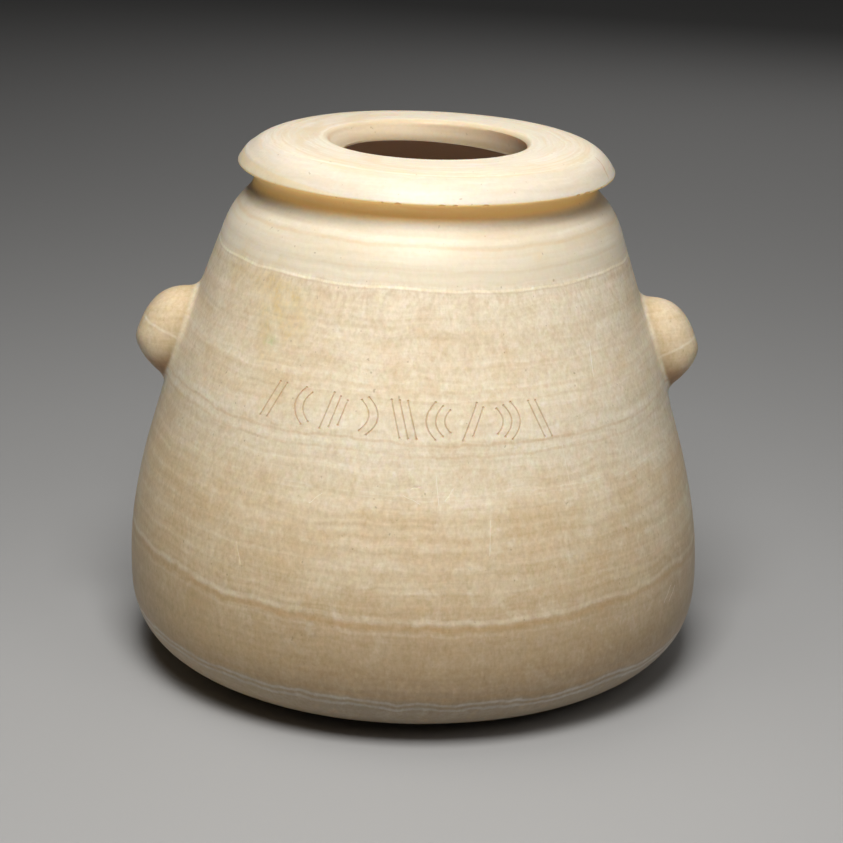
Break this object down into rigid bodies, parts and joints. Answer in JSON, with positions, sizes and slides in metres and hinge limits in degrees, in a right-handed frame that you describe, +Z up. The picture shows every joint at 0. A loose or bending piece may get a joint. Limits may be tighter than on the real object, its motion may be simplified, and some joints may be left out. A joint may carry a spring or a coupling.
{
  "type": "alabastron",
  "caption": "Wide carved stone alabastron: low rounded body, short neck, broad flat lip, narrow throat into a hollow cavity, solid side lugs and a cut row of strokes.",
  "frame": {"origin": "middle of the flat underside that the jar stands on, which is also the middle of the box from above", "axes": "+Z up the jar's axis; the lugs lie along X; the front with the row of strokes faces -Y"},
  "size_m": [0.24, 0.24, 0.2195],
  "materials": {
    "alabaster": "softly polished banded calcite alabaster, a little translucent"
  },
  "bodies": {
    "root": {"vessel": "alabaster"}
  },
  "joints": []
}
